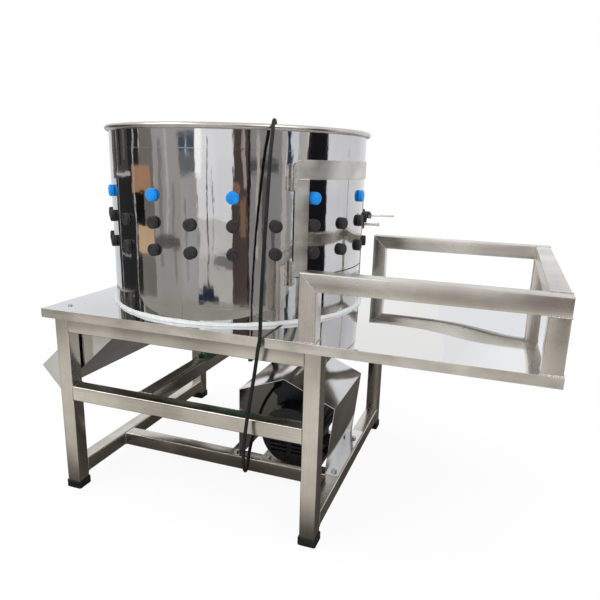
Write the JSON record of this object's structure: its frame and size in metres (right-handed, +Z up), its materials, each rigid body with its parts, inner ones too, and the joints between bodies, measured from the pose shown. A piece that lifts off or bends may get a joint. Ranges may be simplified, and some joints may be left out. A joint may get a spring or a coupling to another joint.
{
  "type": "poultry plucker",
  "caption": "Drum poultry plucker on a welded stainless frame: finger-lined drum with a side door, turning finger plate, feather chute, railed tray and belt drive below",
  "frame": {"origin": "on the floor, under the middle of the machine's length and depth", "axes": "+X along the front from the chute end to the tray end, +Y from the front to the back, +Z up"},
  "size_m": [1.2424, 0.742, 0.9371],
  "materials": {
    "tube_steel": "satin welded stainless tube",
    "sheet_steel": "polished stainless sheet",
    "fitting_steel": "dull stainless fittings and fasteners",
    "shaft_steel": "turned steel shafts, gears and pulleys",
    "black_rubber": "matt black rubber",
    "blue_rubber": "matt blue rubber",
    "sealant": "white silicone sealant",
    "gearbox_green": "green paint on a casting",
    "motor_paint": "black enamel",
    "box_plastic": "dark blue black moulding",
    "black_plastic": "black moulding",
    "capacitor_can": "plain drawn can"
  },
  "bodies": {
    "frame": {"legs": "tube_steel", "foot_caps": "black_rubber", "upper_rails": "tube_steel", "upper_cross_rails": "tube_steel", "mid_rails": "tube_steel", "mid_cross_member": "tube_steel", "low_side_rails": "tube_steel", "low_beams": "tube_steel", "table_sheet": "sheet_steel", "tray_sheet": "sheet_steel", "deck_screws": "fitting_steel", "railing_posts": "tube_steel", "railing_bar_front": "tube_steel", "railing_bar_right": "tube_steel", "railing_bar_rear": "tube_steel", "chute": "sheet_steel", "drum_shell": "sheet_steel", "drum_rim": "sheet_steel", "drum_base_ring": "fitting_steel", "sealant_bead": "sealant", "wall_fingers_black": "black_rubber", "wall_fingers_blue": "blue_rubber", "hinge_leaves_drum": "fitting_steel", "hinge_pins": "fitting_steel", "latch_keeper": "fitting_steel", "gearbox_housing": "gearbox_green", "gearbox_cover": "gearbox_green", "gearbox_bearings": "shaft_steel", "gearbox_hanger": "tube_steel", "machine_bolts": "fitting_steel", "drive_belts": "black_rubber", "motor_stator": "motor_paint", "motor_fan_cover": "motor_paint", "motor_base_plate": "tube_steel", "terminal_box": "box_plastic", "capacitor": "capacitor_can", "cable_gland": "black_plastic", "power_cord": "black_rubber", "plug": "black_rubber", "motor_cover": "sheet_steel"},
    "door": {"door_panel": "sheet_steel", "door_straps": "fitting_steel", "hinge_leaves_door": "fitting_steel", "door_fingers_black": "black_rubber", "door_fingers_blue": "blue_rubber", "latch_base": "black_plastic", "door_pull": "fitting_steel"},
    "latch_slider": {"latch_bolt": "fitting_steel"},
    "rotor": {"plucking_plate": "sheet_steel", "plate_fingers": "black_rubber", "plate_hub": "fitting_steel", "feather_sweepers": "fitting_steel", "output_shaft": "shaft_steel", "bevel_gear": "shaft_steel"},
    "input_line": {"input_shaft": "shaft_steel", "bevel_pinion": "shaft_steel", "driven_pulley": "shaft_steel"},
    "motor_rotor": {"motor_shaft": "shaft_steel", "motor_fan": "black_plastic", "drive_pulley": "shaft_steel"}
  },
  "joints": [
    {"name": "door_swing", "type": "hinge", "parent": "frame", "child": "door", "pos_m": [0.05389, -0.24435, 0.72], "axis": [0, 0, 1], "range_deg": [-82, 0]},
    {"name": "latch_slide", "type": "slide", "parent": "door", "child": "latch_slider", "axis": [-0.3322, 0.9432, 0], "range_m": [0, 0.014]},
    {"name": "plate_spin", "type": "hinge", "parent": "frame", "child": "rotor", "pos_m": [-0.18181, -0.007, 0.522], "axis": [0, 0, 1], "continuous": true},
    {"name": "input_spin", "type": "hinge", "parent": "frame", "child": "input_line", "pos_m": [-0.18181, 0.093, 0.384], "axis": [0, 1, 0], "continuous": true},
    {"name": "motor_spin", "type": "hinge", "parent": "frame", "child": "motor_rotor", "pos_m": [0.02119, 0.005, 0.155], "axis": [0, 1, 0], "continuous": true}
  ],
  "couplings": [
    {"joint": "input_spin", "follows": "plate_spin", "ratio": 2},
    {"joint": "motor_spin", "follows": "plate_spin", "ratio": 3.75}
  ]
}
